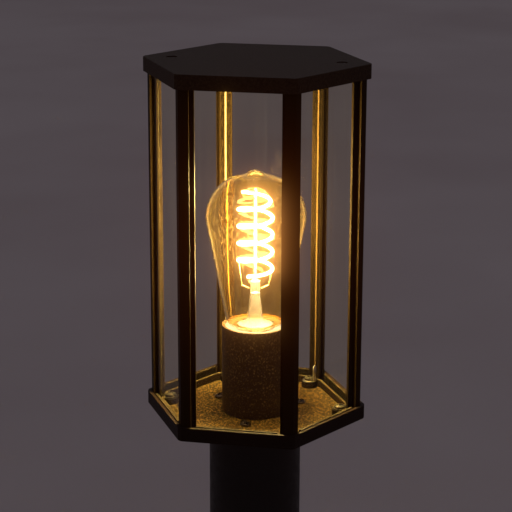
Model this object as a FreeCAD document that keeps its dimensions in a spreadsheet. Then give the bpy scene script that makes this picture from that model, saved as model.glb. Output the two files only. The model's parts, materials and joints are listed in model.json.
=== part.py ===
import FreeCAD
import Part
import math
import os
import re
import Sketcher

# Driving sizes in millimetres. Counts and angles stay in the code below.
SIZES = {
    # hexagonal head: lid, tray and their walls
    "hex_corner": 73.0,
    "corner_cut": 0.8,
    "rim_wall": 2.2,
    "fit_gap": 0.2,
    "head_height": 232.5,
    "lid_height": 9.3,
    "lid_plate": 2.5,
    "tray_height": 9.1,
    "tray_floor": 1.5,
    "edge_round": 0.6,
    # extruded corner posts
    "leg_length": 6.0,
    "flange_wall": 1.4,
    "pane_slot": 3.6,
    "web_half": 2.0,
    "inner_leg": 4.6,
    "nose_cut": 0.7,
    "bead_half": 1.2,
    "bead_rise": 0.6,
    "port_inset": 3.3,
    "port_radius": 1.3,
    # panes and their seals
    "pane_wall": 3.0,
    "pane_lift": 1.0,
    "pane_edge_gap": 0.3,
    "seal_rise": 0.9,
    # glazing ring in the tray
    "ring_width": 1.5,
    "ring_neck": 2.2,
    "ring_height": 5.0,
    "lug_radius": 5.5,
    "lug_drop": 1.1,
    "washer_wall": 0.8,
    "washer_radius": 4.7,
    "blade_width": 2.2,
    "blade_height": 12.0,
    # frame under the lid
    "frame_plate": 2.5,
    "frame_drop": 2.8,
    "frame_lip": 1.6,
    "lid_screw_inset": 6.3,
    "boss_radius": 4.6,
    "boss_drop": 5.3,
    "lid_seal": 1.5,
    "lid_seal_width": 4.0,
    # screws: machine screws, then the tapping screws of the posts
    "screw_gap": 0.1,
    "screw_radius": 2.0,
    "pan_radius": 3.6,
    "pan_height": 2.4,
    "sunk_radius": 3.5,
    "sunk_cone": 1.5,
    "sunk_depth": 0.6,
    "lid_screw_length": 7.5,
    "tray_screw_inset": 7.0,
    "tray_screw_length": 8.0,
    "ring_screw_length": 6.0,
    "tapping_radius": 1.2,
    "tapping_head": 2.2,
    "tapping_cone": 1.0,
    "tapping_length": 16.0,
    # lampholder and the sleeve around it
    "sleeve_radius": 21.5,
    "sleeve_wall": 1.5,
    "sleeve_height": 58.5,
    "holder_gap": 0.25,
    "holder_sink": 1.0,
    "rivet_radius": 2.8,
    "rivet_length": 5.6,
    "room_gap": 2.0,
    "room_height": 3.9,
    "shell_wall": 0.75,
    "shell_sink": 6.0,
    "shell_lip": 3.6,
    "thread_gap": 0.35,
    "contact_radius": 7.0,
    "contact_wall": 0.8,
    "contact_height": 3.3,
    "contact_gap": 0.05,
    "bump_radius": 3.4,
    "nipple_radius": 5.0,
    "nipple_bore": 3.6,
    "nipple_below": 9.0,
    "nut_flats": 14.0,
    "nut_height": 4.0,
    "tag_wall": 1.0,
    "tag_radius": 7.6,
    "tag_width": 4.0,
    # bulb
    "cap_radius": 13.1,
    "cap_wall": 0.4,
    "cap_length": 24.0,
    "cap_taper": 3.0,
    "cap_rise": 0.6,
    "cap_mouth": 8.6,
    "insulator_height": 4.0,
    "tip_radius": 4.8,
    "tip_height": 1.3,
    "bulb_radius": 32.0,
    "dome_flat": 5.0,
    "bulb_wide": 72.2,
    "neck_ledge": 0.2,
    "neck_round": 6.0,
    "glass_wall": 0.8,
    "glass_insert": 6.0,
    "pip_radius": 6.6,
    "pip_height": 3.7,
    "stem_tube": 3.2,
    "stem_waist": 4.8,
    "stem_flare": 20.0,
    "stem_height": 29.5,
    "rod_radius": 1.0,
    "rod_top": 18.0,
    "coil_radius": 11.0,
    "coil_pitch": 11.2,
    "coil_base": 32.2,
    "coil_lower": 4.6,
    "coil_upper": 8.0,
    "strand_radius": 1.1,
    "wire_radius": 0.55,
    "wire_drop": 5.0,
    "wire_bend": 2.2,
    "weld_gap": 0.15,
    # post, post head and foot
    "post_radius": 30.0,
    "post_wall": 2.0,
    "post_length": 252.5,
    "tube_gap": 0.15,
    "head_disc": 6.0,
    "head_ledge": 8.0,
    "head_hole": 14.0,
    "spigot_length": 12.0,
    "tray_seal": 1.0,
    "foot_radius": 75.0,
    "foot_plate": 8.0,
    "foot_round": 2.5,
    "collar_wall": 5.5,
    "collar_height": 22.0,
    "collar_round": 1.5,
    "cable_hole": 12.5,
    "bolt_inset": 16.0,
    "bolt_hole": 4.5,
    "grub_radius": 3.0,
    "grub_sink": 0.6,
    "socket_radius": 1.7,
    "socket_depth": 2.6,
    # terminal block and leads inside the post
    "tongue_width": 16.0,
    "tongue_wall": 3.0,
    "tongue_length": 36.0,
    "tongue_place": 16.5,
    "block_width": 29.0,
    "block_depth": 13.0,
    "block_height": 18.0,
    "pole_pitch": 9.0,
    "pole_bore": 1.9,
    "block_screw_radius": 1.5,
    "block_screw_head": 2.7,
    "lead_radius": 1.1,
    "lead_bend": 8.0,
    "lead_entry": 5.0,
    "lead_pair": 1.6,
}

doc = FreeCAD.newDocument("post_lamp")
sheet = doc.addObject("Spreadsheet::Sheet", "sizes")
for row, (alias, value) in enumerate(SIZES.items(), start=1):
    sheet.set(f"A{row}", alias)
    sheet.set(f"B{row}", str(value))
    sheet.setAlias(f"B{row}", alias)
doc.recompute()

# Derived planes of the head. A "face" is a distance from the axis square to a side of the
# hexagon; a "corner" is a distance from the axis along a corner.
OUTER_FACE = "(hex_corner * cos(30))"
OUTER_CORNER = "(hex_corner - corner_cut)"
RIM_FACE = f"({OUTER_FACE} - rim_wall)"
POST_FACE = f"({RIM_FACE} - fit_gap)"
POST_APEX = f"({POST_FACE} / cos(30))"
POST_NOSE = f"({POST_APEX} - nose_cut)"
RIM_CORNER = f"({POST_NOSE} + fit_gap)"
SLOT_FACE = f"({POST_FACE} - flange_wall)"
LIP_FACE = f"({SLOT_FACE} - pane_slot)"
INNER_FACE = f"({LIP_FACE} - flange_wall)"
INNER_APEX = f"({INNER_FACE} / cos(30))"
PANE_OUT = f"({SLOT_FACE} - (pane_slot - pane_wall) / 2)"
PANE_IN = f"({PANE_OUT} - pane_wall)"
WEB_EDGE = f"(web_half - ({SLOT_FACE} - pane_slot / 2) * tan(30))"
PORT_CIRCLE = f"({POST_APEX} - port_inset)"
RING_OUT = f"({LIP_FACE} - fit_gap)"
RING_IN = f"({RING_OUT} - ring_width)"
RING_CUT = f"({INNER_APEX} - inner_leg / 2 - fit_gap)"
BEAD_ROOT = f"({INNER_APEX} - bead_half / tan(60))"
LUG_CIRCLE = f"({BEAD_ROOT} - bead_rise - fit_gap - lug_radius)"
LUG_HEIGHT = "(ring_height - lug_drop)"
LUG_TURNS = (0, 60, 120, 180)
TAG_TURN = 60
LID_SCREWS = f"({RING_CUT} - lid_screw_inset)"
HEAD_RADIUS = "(post_radius + head_ledge)"
TRAY_SCREWS = f"({HEAD_RADIUS} - tray_screw_inset)"

# Levels above the ground
POST_TOP = "(foot_plate + post_length)"
TRAY = f"({POST_TOP} + head_disc + tray_seal)"
FLOOR = f"({TRAY} + tray_floor)"
LID_UNDER = f"({TRAY} + head_height - lid_plate)"
FRAME_TOP = f"({LID_UNDER} - lid_seal)"
POSTS_TOP = f"({FRAME_TOP} - frame_plate)"
HOLDER_BASE = f"({FLOOR} + sleeve_wall)"
HOLDER_HEIGHT = "(sleeve_height - sleeve_wall - holder_sink)"
HOLDER_FACE = f"({HOLDER_BASE} + {HOLDER_HEIGHT})"
CAP_TOP = f"({HOLDER_FACE} + cap_rise)"
CAP_END = f"({CAP_TOP} - cap_length)"
TIP_END = f"({CAP_END} - insulator_height - tip_height)"
BORE_FLOOR = f"({TIP_END} - contact_gap - contact_height)"
BLOCK_TOP = f"({POST_TOP} - spigot_length - 8)"


def formula(text):
    """The text with every size name pointed at the sheet."""
    def point(hit):
        name = hit.group(0)
        return f"sizes.{name}" if name in SIZES else name
    return re.sub(r"[a-z_]+", point, text)


def bind(thing, prop, text):
    thing.setExpression(prop, formula(text))


def number(text):
    return float(sheet.evalExpression(text))


def origin_item(body, role):
    return next(item for item in body.Origin.OriginFeatures if item.Role == role)


def new_body(label, level="0", turn=0):
    body = doc.addObject("PartDesign::Body", label)
    body.Label = label
    body.Placement = FreeCAD.Placement(
        FreeCAD.Vector(0, 0, number(level)), FreeCAD.Rotation(FreeCAD.Vector(0, 0, 1), turn)
    )
    bind(body, "Placement.Base.z", level)
    return body


def new_sketch(body, name, role="XY_Plane", offset="0"):
    sketch = body.newObject("Sketcher::SketchObject", name)
    sketch.AttachmentSupport = [(origin_item(body, role), "")]
    sketch.MapMode = "FlatFace"
    bind(sketch, "AttachmentOffset.Base.z", offset)
    return sketch


def fix_point(sketch, geo, pos, x, y):
    """Ties one point of the sketch to the sheet by its distances from the sketch's origin."""
    for kind, text in (("DistanceX", x), ("DistanceY", y)):
        index = sketch.addConstraint(Sketcher.Constraint(kind, -1, 1, geo, pos, number(text)))
        bind(sketch, f"Constraints[{index}]", text)


def arc_between(start, end, radius, side):
    """An arc of less than half a turn; side 1 turns left on the way from start to end."""
    chord = end - start
    half = chord.Length / 2
    across = FreeCAD.Vector(-chord.y, chord.x, 0).normalize()
    centre = (start + end) / 2 + across * (side * math.sqrt(max(radius * radius - half * half, 0.0)))
    first, last = (start, end) if side > 0 else (end, start)
    angles = [math.atan2(p.y - centre.y, p.x - centre.x) for p in (first, last)]
    circle = Part.Circle(centre, FreeCAD.Vector(0, 0, 1), radius)
    return Part.ArcOfCircle(circle, angles[0], angles[1])


def draw(sketch, points, arcs=None):
    """A closed outline through points given as formulas; arcs maps an edge to (radius, side)."""
    arcs = arcs or {}
    spots = [FreeCAD.Vector(number(x), number(y), 0) for x, y in points]
    count = len(points)
    edges = []
    for i in range(count):
        start, end = spots[i], spots[(i + 1) % count]
        if i in arcs:
            radius, side = arcs[i]
            geo = sketch.addGeometry(arc_between(start, end, number(radius), side))
            edges.append((geo, 1, 2) if side > 0 else (geo, 2, 1))
        else:
            edges.append((sketch.addGeometry(Part.LineSegment(start, end)), 1, 2))
    for i in range(count):
        geo, _, tail = edges[i]
        following, head, _ = edges[(i + 1) % count]
        sketch.addConstraint(Sketcher.Constraint("Coincident", geo, tail, following, head))
    for (x, y), (geo, head, _) in zip(points, edges):
        fix_point(sketch, geo, head, x, y)
    for i, (radius, _) in arcs.items():
        index = sketch.addConstraint(Sketcher.Constraint("Radius", edges[i][0], number(radius)))
        bind(sketch, f"Constraints[{index}]", radius)


def draw_circle(sketch, x, y, radius):
    centre = FreeCAD.Vector(number(x), number(y), 0)
    geo = sketch.addGeometry(Part.Circle(centre, FreeCAD.Vector(0, 0, 1), number(radius)))
    fix_point(sketch, geo, 3, x, y)
    index = sketch.addConstraint(Sketcher.Constraint("Radius", geo, number(radius)))
    bind(sketch, f"Constraints[{index}]", radius)


def rectangle(low_x, high_x, low_y, high_y):
    return [(low_x, low_y), (high_x, low_y), (high_x, high_y), (low_x, high_y)]


def hexagon(face, corner):
    """A hexagon with corners on the X axis, each corner cut flat at the given distance."""
    points = []
    for turn in range(0, 360, 60):
        for sign in (-1, 1):
            across = f"({sign} * ({face} / cos(30) - {corner}) * tan(60))"
            x = f"({corner} * cos({turn}) - {across} * sin({turn}))"
            y = f"({corner} * sin({turn}) + {across} * cos({turn}))"
            points.append((x, y))
    return points


def pad(body, sketch, length, down=False):
    feature = body.newObject("PartDesign::Pad", sketch.Name + "_pad")
    feature.Profile = sketch
    bind(feature, "Length", length)
    feature.Reversed = down
    sketch.Visibility = False
    return feature


def pocket(body, sketch, depth, up=False):
    feature = body.newObject("PartDesign::Pocket", sketch.Name + "_pocket")
    feature.Profile = sketch
    bind(feature, "Length", depth)
    feature.Reversed = up
    sketch.Visibility = False
    return feature


def turned(body, name, points, arcs=None, away="0", cut=False):
    """A turned solid, or a turned hole, from an outline of (radius, level) about a line along Z."""
    sketch = new_sketch(body, name, "XZ_Plane")
    draw(sketch, [(f"({away} + {radius})", level) for radius, level in points], arcs)
    axis = "V_Axis"
    if away != "0":
        low = FreeCAD.Vector(number(away), 0, 0)
        line = sketch.addGeometry(Part.LineSegment(low, low + FreeCAD.Vector(0, 10, 0)), True)
        fix_point(sketch, line, 1, away, "0")
        fix_point(sketch, line, 2, away, "10")
        axis = "Axis0"
    feature = body.newObject("PartDesign::Groove" if cut else "PartDesign::Revolution", name + "_turned")
    feature.Profile = sketch
    feature.ReferenceAxis = (sketch, [axis])
    feature.Angle = 360
    sketch.Visibility = False
    return feature


def around(body, features, count, sweep=360):
    doc.recompute()
    feature = body.newObject("PartDesign::PolarPattern", features[0].Name + "_round")
    feature.Originals = features
    feature.Axis = (origin_item(body, "Z_Axis"), [""])
    feature.Angle = sweep
    feature.Occurrences = count
    body.Tip = feature
    return feature


def round_edges(body, base, radius, wanted):
    doc.recompute()
    names = [f"Edge{i + 1}" for i, edge in enumerate(base.Shape.Edges) if wanted(edge)]
    feature = body.newObject("PartDesign::Fillet", base.Name + "_fillet")
    feature.Base = (base, names)
    bind(feature, "Radius", radius)
    body.Tip = feature
    return feature


def at_level(level, least):
    """Picks the edges that lie wholly at one level of the body, at least so far from its axis."""
    def wanted(edge):
        ends = [v.Point for v in edge.Vertexes]
        flat = all(abs(p.z - level) < 1e-4 for p in ends)
        return flat and all(math.hypot(p.x, p.y) > least for p in ends)
    return wanted


parts = []


def keep(thing, label=None):
    if label:
        thing.Label = label
    parts.append(thing)


# Foot: a round cast plate with a collar for the tube, bolt holes and a cable hole
foot = new_body("base_flange")
collar = "(post_radius + collar_wall)"
collar_top = "(foot_plate + collar_height)"
tube_seat = "(post_radius + tube_gap)"
turned(foot, "foot_profile", [
    ("cable_hole", "0"),
    ("foot_radius", "0"),
    ("foot_radius", "(foot_plate - foot_round)"),
    ("(foot_radius - foot_round)", "foot_plate"),
    (collar, "foot_plate"),
    (collar, f"({collar_top} - collar_round)"),
    (f"({collar} - collar_round)", collar_top),
    (tube_seat, collar_top),
    (tube_seat, "foot_plate"),
    ("cable_hole", "foot_plate"),
], {2: ("foot_round", 1), 5: ("collar_round", 1)})
foot_bolts = new_sketch(foot, "foot_bolts")
bolt_place = "((foot_radius - bolt_inset) * cos(45))"
draw_circle(foot_bolts, bolt_place, bolt_place, "bolt_hole")
around(foot, [pocket(foot, foot_bolts, "foot_plate", up=True)], 4)
foot_grubs = new_sketch(foot, "foot_grub_holes", "YZ_Plane")
grub_level = "(foot_plate + collar_height / 2)"
draw_circle(foot_grubs, "0", grub_level, "(grub_radius + screw_gap)")
around(foot, [pocket(foot, foot_grubs, "foot_radius", up=True)], 3)
keep(foot)

# Grub screws of the foot: flat ends on the tube, hexagon sockets outward
grubs = new_body("flange_grub_screws")
grub_body = new_sketch(grubs, "grub_body", "YZ_Plane", "post_radius")
draw_circle(grub_body, "0", grub_level, "grub_radius")
grub_length = "(collar_wall - grub_sink)"
grub_pad = pad(grubs, grub_body, grub_length)
grub_socket = new_sketch(grubs, "grub_socket", "YZ_Plane", f"(post_radius + {grub_length})")
draw(grub_socket, [
    (f"(socket_radius * cos({a}))", f"({grub_level} + socket_radius * sin({a}))") for a in range(0, 360, 60)
])
around(grubs, [grub_pad, pocket(grubs, grub_socket, "socket_depth")], 3)
keep(grubs)

# Post tube
tube = new_body("post_tube", "foot_plate")
tube_ring = new_sketch(tube, "tube_ring")
draw_circle(tube_ring, "0", "0", "post_radius")
draw_circle(tube_ring, "0", "0", "(post_radius - post_wall)")
pad(tube, tube_ring, "post_length")
keep(tube)

# Post head: disc welded on the tube, a spigot inside it and a tongue for the terminal block
head = new_body("post_head", POST_TOP)
spigot = "(post_radius - post_wall - tube_gap)"
turned(head, "head_profile", [
    ("head_hole", "-spigot_length"),
    (spigot, "-spigot_length"),
    (spigot, "0"),
    (HEAD_RADIUS, "0"),
    (HEAD_RADIUS, "head_disc"),
    ("head_hole", "head_disc"),
])
tongue = new_sketch(head, "tongue", "XY_Plane", "-spigot_length")
draw(tongue, rectangle(
    "(-tongue_width / 2)", "(tongue_width / 2)", "tongue_place", "(tongue_place + tongue_wall)"
))
pad(head, tongue, "tongue_length", down=True)
tongue_holes = new_sketch(head, "tongue_holes", "XZ_Plane")
block_middle = f"({BLOCK_TOP} - block_height / 2 - {POST_TOP})"
for sign in (-1, 1):
    draw_circle(tongue_holes, f"({sign} * pole_pitch / 2)", block_middle, "(block_screw_radius + screw_gap)")
pocket(head, tongue_holes, "(tongue_place + tongue_wall)")
head_taps = new_sketch(head, "head_taps")
draw_circle(head_taps, f"{TRAY_SCREWS} * cos(30)", f"{TRAY_SCREWS} * sin(30)", "(screw_radius + screw_gap)")
around(head, [pocket(head, head_taps, "head_disc", up=True)], 3)
keep(head)

# Terminal block and its two fixing screws
block = new_body("terminal_block", BLOCK_TOP)
block_back = "tongue_place"
block_front = "(tongue_place - block_depth)"
pole_line = "(tongue_place - block_depth / 2)"
block_outline = new_sketch(block, "block_outline")
draw(block_outline, rectangle("(-block_width / 2)", "(block_width / 2)", block_front, block_back))
for place in (-1, 0, 1):
    draw_circle(block_outline, f"({place} * pole_pitch)", pole_line, "pole_bore")
pad(block, block_outline, "block_height", down=True)
block_holes = new_sketch(block, "block_holes", "XZ_Plane")
for sign in (-1, 1):
    draw_circle(
        block_holes, f"({sign} * pole_pitch / 2)", "(-block_height / 2)", "(block_screw_radius + screw_gap)"
    )
pocket(block, block_holes, "tongue_place")
keep(block)

block_screws = new_body("terminal_block_screws", f"({BLOCK_TOP} - block_height / 2)")
block_shanks = new_sketch(block_screws, "block_shanks", "XZ_Plane", f"(-{block_front})")
block_heads = new_sketch(block_screws, "block_heads", "XZ_Plane", f"(-{block_front})")
for sign in (-1, 1):
    draw_circle(block_shanks, f"({sign} * pole_pitch / 2)", "0", "block_screw_radius")
    draw_circle(block_heads, f"({sign} * pole_pitch / 2)", "0", "block_screw_head")
pad(block_screws, block_shanks, "(block_depth + tongue_wall)", down=True)
pad(block_screws, block_heads, "block_screw_radius")
keep(block_screws)

# Gasket between post head and tray
tray_gasket = new_body("tray_gasket", f"({POST_TOP} + head_disc)")
tray_gasket_ring = new_sketch(tray_gasket, "tray_gasket_ring")
draw_circle(tray_gasket_ring, "0", "0", f"({HEAD_RADIUS} - edge_round)")
draw_circle(tray_gasket_ring, "0", "0", "(head_hole + edge_round)")
for turn in (30, 150, 270):
    draw_circle(
        tray_gasket_ring, f"{TRAY_SCREWS} * cos({turn})", f"{TRAY_SCREWS} * sin({turn})",
        "(screw_radius + screw_gap)",
    )
pad(tray_gasket, tray_gasket_ring, "tray_seal")
keep(tray_gasket)

# Tray: floor and rim in one casting, with all its screw holes
tray = new_body("base_tray", TRAY)
tray_outline = new_sketch(tray, "tray_outline")
draw(tray_outline, hexagon(OUTER_FACE, OUTER_CORNER))
pad(tray, tray_outline, "tray_height")
tray_well = new_sketch(tray, "tray_well", "XY_Plane", "tray_height")
draw(tray_well, hexagon(RIM_FACE, RIM_CORNER))
pocket(tray, tray_well, "(tray_height - tray_floor)")
tray_holes = new_sketch(tray, "tray_holes")
draw_circle(tray_holes, "0", "0", "(nipple_radius + screw_gap)")
for turn in (30, 150, 270):
    draw_circle(
        tray_holes, f"{TRAY_SCREWS} * cos({turn})", f"{TRAY_SCREWS} * sin({turn})",
        "(screw_radius + screw_gap)",
    )
for turn in LUG_TURNS:
    draw_circle(
        tray_holes, f"{LUG_CIRCLE} * cos({turn})", f"{LUG_CIRCLE} * sin({turn})", "(screw_radius + screw_gap)"
    )
pocket(tray, tray_holes, "tray_floor", up=True)
tapping_hole = "(tapping_radius + screw_gap)"
tray_sinks = turned(tray, "tray_sinks", [
    ("0", "0"),
    ("(tapping_head + screw_gap)", "0"),
    (tapping_hole, "tapping_cone"),
    (tapping_hole, "tray_floor"),
    ("0", "tray_floor"),
], away=PORT_CIRCLE, cut=True)
tray_done = around(tray, [tray_sinks], 6)
round_edges(tray, tray_done, "edge_round", at_level(0, number("hex_corner") * 0.8))
keep(tray)

# Screws that hold the tray to the post head
tray_screws = new_body("tray_screws", FLOOR, 30)
pan_head = turned(tray_screws, "tray_screw", [
    ("0", "-tray_screw_length"),
    ("screw_radius", "-tray_screw_length"),
    ("screw_radius", "0"),
    ("pan_radius", "0"),
    ("pan_radius", "(pan_height / 2)"),
    ("(pan_radius - pan_height / 2)", "pan_height"),
    ("0", "pan_height"),
], {4: ("pan_height / 2", 1)}, away=TRAY_SCREWS)
around(tray_screws, [pan_head], 3)
keep(tray_screws)

# Corner posts: one extruded section with two pane slots, a screw port and an inner rib
def across_side(face, along):
    """A point of the section from its distance to the side's plane and its place along the side."""
    return f"({face} * cos(30) - {along} * sin(30))", f"({face} * sin(30) + {along} * cos(30))"


leg_end = f"(leg_length - {POST_FACE} * tan(30))"
inner_end = f"(inner_leg - {INNER_FACE} * tan(30))"
section = [
    (POST_NOSE, "(nose_cut * tan(60))"),
    across_side(POST_FACE, leg_end),
    across_side(SLOT_FACE, leg_end),
    across_side(SLOT_FACE, WEB_EDGE),
    across_side(LIP_FACE, WEB_EDGE),
    across_side(LIP_FACE, inner_end),
    across_side(INNER_FACE, inner_end),
    (BEAD_ROOT, "bead_half"),
]
mirrored = [(x, f"(-{y})") for x, y in reversed(section)]
for place in range(6):
    post = new_body(f"corner_post_{place + 1}", FLOOR, 60 * place)
    post_section = new_sketch(post, f"post_section_{place + 1}")
    draw(post_section, section + mirrored, {7: ("(bead_half ^ 2 + bead_rise ^ 2) / (2 * bead_rise)", 1)})
    draw_circle(post_section, PORT_CIRCLE, "0", "port_radius")
    pad(post, post_section, f"({POSTS_TOP} - {FLOOR})")
    keep(post)

# Tapping screws into the ports of the posts, from below the tray and from above the frame
tapping = [
    ("0", "0"),
    ("tapping_head", "0"),
    ("tapping_radius", "tapping_cone"),
    ("tapping_radius", "tapping_length"),
    ("0", "tapping_length"),
]
post_screws = new_body("corner_post_screws", TRAY)
around(post_screws, [turned(post_screws, "post_screw", tapping, away=PORT_CIRCLE)], 6)
keep(post_screws)
frame_screws = new_body("top_frame_screws", FRAME_TOP)
frame_screw = turned(frame_screws, "frame_screw", [(r, f"(-{z})") for r, z in tapping], away=PORT_CIRCLE)
around(frame_screws, [frame_screw], 6)
keep(frame_screws)

# Panes in the slots, each on a seal that also fills the gap to the rim and stands a little above it
pane_half = f"(-{WEB_EDGE} - pane_edge_gap)"
for place in range(6):
    pane = new_body(f"glass_pane_{place + 1}", f"({FLOOR} + pane_lift)", 30 + 60 * place)
    pane_outline = new_sketch(pane, f"pane_outline_{place + 1}")
    draw(pane_outline, rectangle(PANE_IN, PANE_OUT, f"(-{pane_half})", pane_half))
    pad(pane, pane_outline, f"({POSTS_TOP} - {FLOOR} - pane_lift)")
    keep(pane)
seals = new_body("pane_seals", FLOOR, 30)
seal_half = f"({POST_FACE} * tan(30) - leg_length - fit_gap)"
seal_back = f"({RIM_FACE} - fit_gap / 2)"
seal_bed = new_sketch(seals, "seal_bed")
draw(seal_bed, rectangle(PANE_IN, seal_back, f"(-{seal_half})", seal_half))
seal_edge = new_sketch(seals, "seal_edge")
draw(seal_edge, rectangle(PANE_OUT, seal_back, f"(-{seal_half})", seal_half))
seal_bed_pad = pad(seals, seal_bed, "pane_lift")
seal_edge_pad = pad(seals, seal_edge, "(tray_height - tray_floor + seal_rise)")
around(seals, [seal_bed_pad, seal_edge_pad], 6)
keep(seals)

# Glazing ring on the tray floor, a thin strip with a lug for a screw in four of its corners
ring = new_body("glazing_ring", FLOOR)
ring_outline = new_sketch(ring, "ring_outline")
draw(ring_outline, hexagon(RING_OUT, RING_CUT))
draw(ring_outline, hexagon(RING_IN, f"({RING_CUT} - ring_neck)"))
pad(ring, ring_outline, "ring_height")
lug = new_sketch(ring, "lug")
draw_circle(lug, LUG_CIRCLE, "0", "lug_radius")
around(ring, [pad(ring, lug, LUG_HEIGHT)], len(LUG_TURNS), LUG_TURNS[-1])
lug_hole = new_sketch(ring, "lug_hole")
draw_circle(lug_hole, LUG_CIRCLE, "0", "(screw_radius + screw_gap)")
around(ring, [pocket(ring, lug_hole, "ring_height", up=True)], len(LUG_TURNS), LUG_TURNS[-1])
lug_seat = new_sketch(ring, "lug_seat", "XY_Plane", "ring_height")
draw_circle(lug_seat, LUG_CIRCLE, "0", "(washer_radius + fit_gap)")
around(ring, [pocket(ring, lug_seat, "lug_drop")], len(LUG_TURNS), LUG_TURNS[-1])
keep(ring)

# Screws and washers of the glazing ring; one corner has an upright tag in place of the washer
LUG_TOP = f"({FLOOR} + {LUG_HEIGHT})"
ring_screws = new_body("glazing_ring_screws", f"({LUG_TOP} + washer_wall)")
ring_screw = turned(ring_screws, "ring_screw", [
    ("0", "-ring_screw_length"),
    ("screw_radius", "-ring_screw_length"),
    ("screw_radius", "0"),
    ("pan_radius", "0"),
    ("pan_radius", "(pan_height / 2)"),
    ("(pan_radius - pan_height / 2)", "pan_height"),
    ("0", "pan_height"),
], {4: ("pan_height / 2", 1)}, away=LUG_CIRCLE)
around(ring_screws, [ring_screw], len(LUG_TURNS), LUG_TURNS[-1])
keep(ring_screws)
washers = new_body("glazing_ring_washers", LUG_TOP)
washer_rings = new_sketch(washers, "washer_rings")
for turn in LUG_TURNS:
    if turn != TAG_TURN:
        place = (f"{LUG_CIRCLE} * cos({turn})", f"{LUG_CIRCLE} * sin({turn})")
        draw_circle(washer_rings, *place, "washer_radius")
        draw_circle(washer_rings, *place, "(screw_radius + screw_gap)")
pad(washers, washer_rings, "washer_wall")
keep(washers)
tag = new_body("earth_tag", LUG_TOP, TAG_TURN)
tag_foot = new_sketch(tag, "tag_foot")
draw_circle(tag_foot, LUG_CIRCLE, "0", "washer_radius")
draw_circle(tag_foot, LUG_CIRCLE, "0", "(screw_radius + screw_gap)")
pad(tag, tag_foot, "washer_wall")
blade = new_sketch(tag, "blade", "XZ_Plane", "washer_radius")
blade_low = f"({LUG_CIRCLE} - blade_width / 2)"
blade_high = f"({LUG_CIRCLE} + blade_width / 2)"
draw(blade, [
    (blade_low, "0"),
    (blade_high, "0"),
    (blade_high, "(blade_height - blade_width / 2)"),
    (LUG_CIRCLE, "blade_height"),
    (blade_low, "(blade_height - blade_width / 2)"),
])
pad(tag, blade, "washer_wall", down=True)
keep(tag)

# Frame that ties the tops of the posts and carries the lid's screw bosses
frame = new_body("top_frame", FRAME_TOP)
frame_outline = new_sketch(frame, "frame_outline")
draw(frame_outline, hexagon(POST_FACE, POST_NOSE))
draw(frame_outline, hexagon(f"({RING_IN} - frame_lip)", LID_SCREWS))
pad(frame, frame_outline, "frame_plate", down=True)
frame_wall = new_sketch(frame, "frame_wall", "XY_Plane", "-frame_plate")
draw(frame_wall, hexagon(RING_OUT, RING_CUT))
draw(frame_wall, hexagon(RING_IN, f"({RING_CUT} - ring_neck)"))
pad(frame, frame_wall, "frame_drop", down=True)
boss = new_sketch(frame, "boss")
draw_circle(boss, LID_SCREWS, "0", "boss_radius")
around(frame, [pad(frame, boss, "boss_drop", down=True)], 2)
boss_hole = new_sketch(frame, "boss_hole")
draw_circle(boss_hole, LID_SCREWS, "0", "(screw_radius + screw_gap)")
around(frame, [pocket(frame, boss_hole, "boss_drop")], 2)
frame_sink = turned(frame, "frame_sink", [
    ("0", "0"),
    ("(tapping_head + screw_gap)", "0"),
    (tapping_hole, "-tapping_cone"),
    (tapping_hole, "-frame_plate"),
    ("0", "-frame_plate"),
], away=PORT_CIRCLE, cut=True)
around(frame, [frame_sink], 6)
keep(frame)

# Gasket under the lid
lid_gasket = new_body("lid_gasket", FRAME_TOP)
gasket_outline = new_sketch(lid_gasket, "gasket_outline")
draw(gasket_outline, hexagon(RING_OUT, RING_CUT))
draw(gasket_outline, hexagon(f"({RING_OUT} - lid_seal_width)", f"({LID_SCREWS} - boss_radius)"))
for sign in (-1, 1):
    draw_circle(gasket_outline, f"({sign} * {LID_SCREWS})", "0", "(screw_radius + screw_gap)")
pad(lid_gasket, gasket_outline, "lid_seal")
keep(lid_gasket)

# Lid: flat plate and skirt in one casting, two countersunk holes
lid = new_body("lid", f"({TRAY} + head_height - lid_height)")
lid_outline = new_sketch(lid, "lid_outline")
draw(lid_outline, hexagon(OUTER_FACE, OUTER_CORNER))
pad(lid, lid_outline, "lid_height")
lid_well = new_sketch(lid, "lid_well")
draw(lid_well, hexagon(RIM_FACE, RIM_CORNER))
pocket(lid, lid_well, "(lid_height - lid_plate)", up=True)
sink_top = "(lid_height - sunk_depth)"
lid_sink = turned(lid, "lid_sink", [
    ("0", "lid_height"),
    ("(sunk_radius + screw_gap)", "lid_height"),
    ("(sunk_radius + screw_gap)", sink_top),
    ("(screw_radius + screw_gap)", f"({sink_top} - sunk_cone)"),
    ("(screw_radius + screw_gap)", "(lid_height - lid_plate)"),
    ("0", "(lid_height - lid_plate)"),
], away=LID_SCREWS, cut=True)
lid_done = around(lid, [lid_sink], 2)
round_edges(lid, lid_done, "edge_round", at_level(number("lid_height"), number("hex_corner") * 0.8))
keep(lid)
lid_screws = new_body("lid_screws", f"({TRAY} + head_height - sunk_depth)")
lid_screw = turned(lid_screws, "lid_screw", [
    ("0", "0"),
    ("sunk_radius", "0"),
    ("screw_radius", "-sunk_cone"),
    ("screw_radius", "-lid_screw_length"),
    ("0", "-lid_screw_length"),
], away=LID_SCREWS)
around(lid_screws, [lid_screw], 2)
keep(lid_screws)

# Sleeve around the lampholder: a drawn cup, open at the top
sleeve = new_body("lampholder_sleeve", FLOOR)
turned(sleeve, "sleeve_profile", [
    ("(nipple_radius + screw_gap)", "0"),
    ("sleeve_radius", "0"),
    ("sleeve_radius", "sleeve_height"),
    ("(sleeve_radius - sleeve_wall)", "sleeve_height"),
    ("(sleeve_radius - sleeve_wall)", "sleeve_wall"),
    ("(nipple_radius + screw_gap)", "sleeve_wall"),
])
keep(sleeve)

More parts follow.
